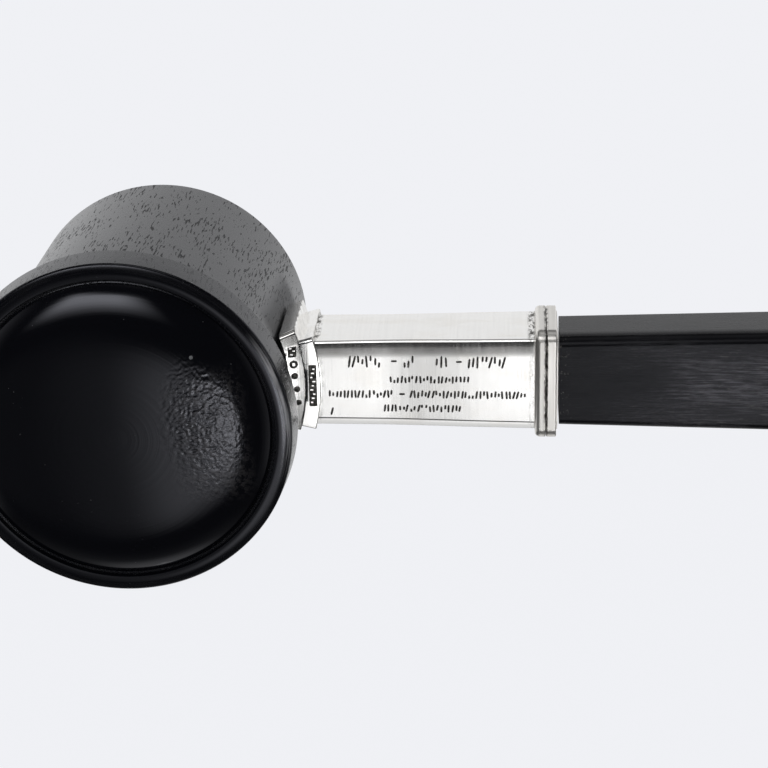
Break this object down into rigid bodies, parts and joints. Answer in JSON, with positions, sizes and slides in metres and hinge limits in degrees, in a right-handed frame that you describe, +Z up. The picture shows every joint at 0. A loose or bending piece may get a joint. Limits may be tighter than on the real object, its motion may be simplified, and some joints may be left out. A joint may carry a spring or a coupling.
{
  "type": "ceremonial gavel",
  "caption": "Turned ebony gavel head with a banded, cushioned striking face, a silver saddle ferrule with a beaded collar, and a flared ebony handle, lying on its side.",
  "frame": {"origin": "centre of the bounding box's underside, on the surface the gavel lies on", "axes": "+X along the table from the head towards the handle's butt, -Y the way the banded striking face looks, +Z up"},
  "size_m": [0.2396, 0.0674, 0.0626],
  "materials": {
    "polished_ebony": "polished black hardwood with fine open pores; satin on the drum, dented gloss on the face",
    "engraved_silver": "bright silver, lightly brushed, with dark tarnish in the creases and cut strokes",
    "satin_ebony": "satin black hardwood with fine lengthwise scratches"
  },
  "bodies": {
    "root": {"head": "polished_ebony", "ferrule": "engraved_silver", "handle": "satin_ebony"}
  },
  "joints": []
}
